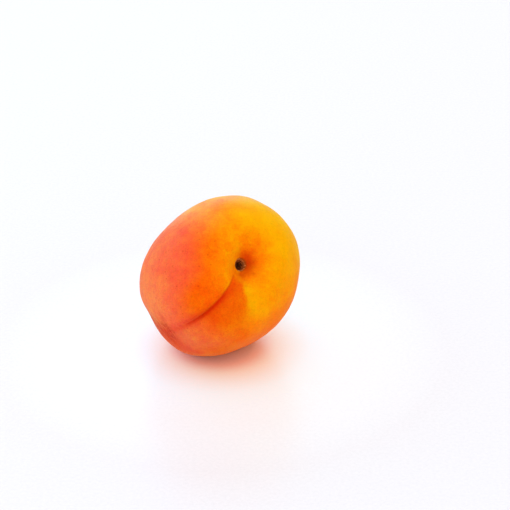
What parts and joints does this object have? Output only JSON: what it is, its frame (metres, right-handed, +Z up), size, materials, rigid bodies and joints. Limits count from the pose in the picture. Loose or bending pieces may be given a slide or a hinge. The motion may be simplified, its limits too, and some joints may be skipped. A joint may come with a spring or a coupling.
{
  "type": "apricot",
  "caption": "Ripe apricot as picked, lying on its fuller cheek: rounded stone fruit with a suture crease, a stem cavity with the dry stalk scar, and a small dry tip.",
  "frame": {"origin": "under the middle of the fruit's bounding box, on the surface that it lies on", "axes": "+Z up with the fruit at rest on its fuller cheek; the stem cavity looks towards -Y and a little to +X and up, and the suture runs from it towards -X and down; +Y is away from the stem end and is the longest extent"},
  "size_m": [0.0446, 0.047, 0.0448],
  "materials": {
    "skin": "soft velvety skin, golden yellow on the stem side and shade cheek, orange to pinkish red blush on the sun cheek, satin under a fine down"
  },
  "bodies": {
    "root": {"apricot": "skin"}
  },
  "joints": []
}
